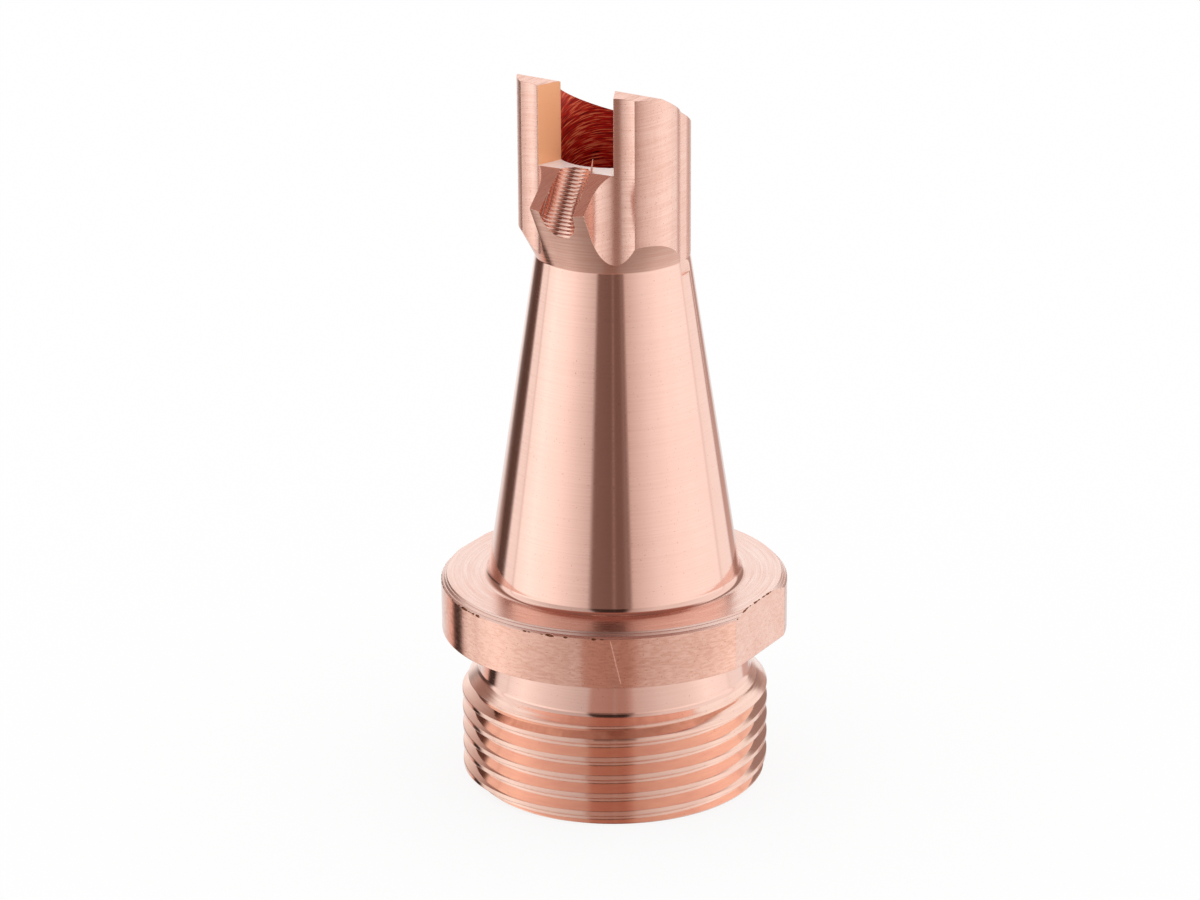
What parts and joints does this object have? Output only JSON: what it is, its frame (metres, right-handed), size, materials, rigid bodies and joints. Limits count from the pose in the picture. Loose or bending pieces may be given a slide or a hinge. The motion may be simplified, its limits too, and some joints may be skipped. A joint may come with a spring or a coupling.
{
  "type": "laser welding nozzle",
  "caption": "One-piece copper nozzle for a hand-held laser welding torch: threaded end, flange with wrench flats, cone and a slotted tip with a ridged wire groove.",
  "frame": {"origin": "centre of the threaded end's face, on the beam axis", "axes": "+Z along the beam axis towards the tip, -Y towards the open side of the wire slot, wrench flats on +X and -X"},
  "size_m": [0.0172, 0.018, 0.0375],
  "materials": {
    "copper": "turned and polished bare copper"
  },
  "bodies": {
    "root": {"nozzle_body": "copper"}
  },
  "joints": []
}
